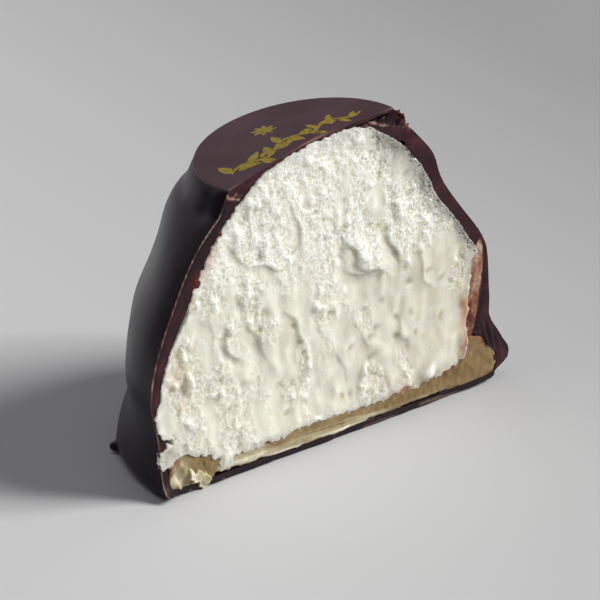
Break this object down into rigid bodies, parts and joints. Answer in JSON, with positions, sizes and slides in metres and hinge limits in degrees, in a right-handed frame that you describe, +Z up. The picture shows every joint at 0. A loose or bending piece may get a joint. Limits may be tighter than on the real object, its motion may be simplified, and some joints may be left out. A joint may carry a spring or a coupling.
{
  "type": "halved chocolate-coated marshmallow",
  "caption": "Dome of white marshmallow foam on a marzipan base, coated in dark chocolate, with a thin chocolate disc on top, cut in half and standing on its sole.",
  "frame": {"origin": "middle of the footprint of the whole bounding box, on the surface it stands on", "axes": "+Z up, +X to the right along the cut face, +Y from the cut face into the uncut side"},
  "size_m": [0.0558, 0.0274, 0.0395],
  "materials": {
    "dark_chocolate": "set dark chocolate, satin gloss",
    "whipped_foam": "torn moist white foam",
    "marzipan": "cut marzipan, dull",
    "moulded_chocolate": "moulded dark chocolate, satin"
  },
  "bodies": {
    "root": {"chocolate_coat": "dark_chocolate", "marshmallow_foam": "whipped_foam", "marzipan_base": "marzipan", "chocolate_disc": "moulded_chocolate"}
  },
  "joints": []
}
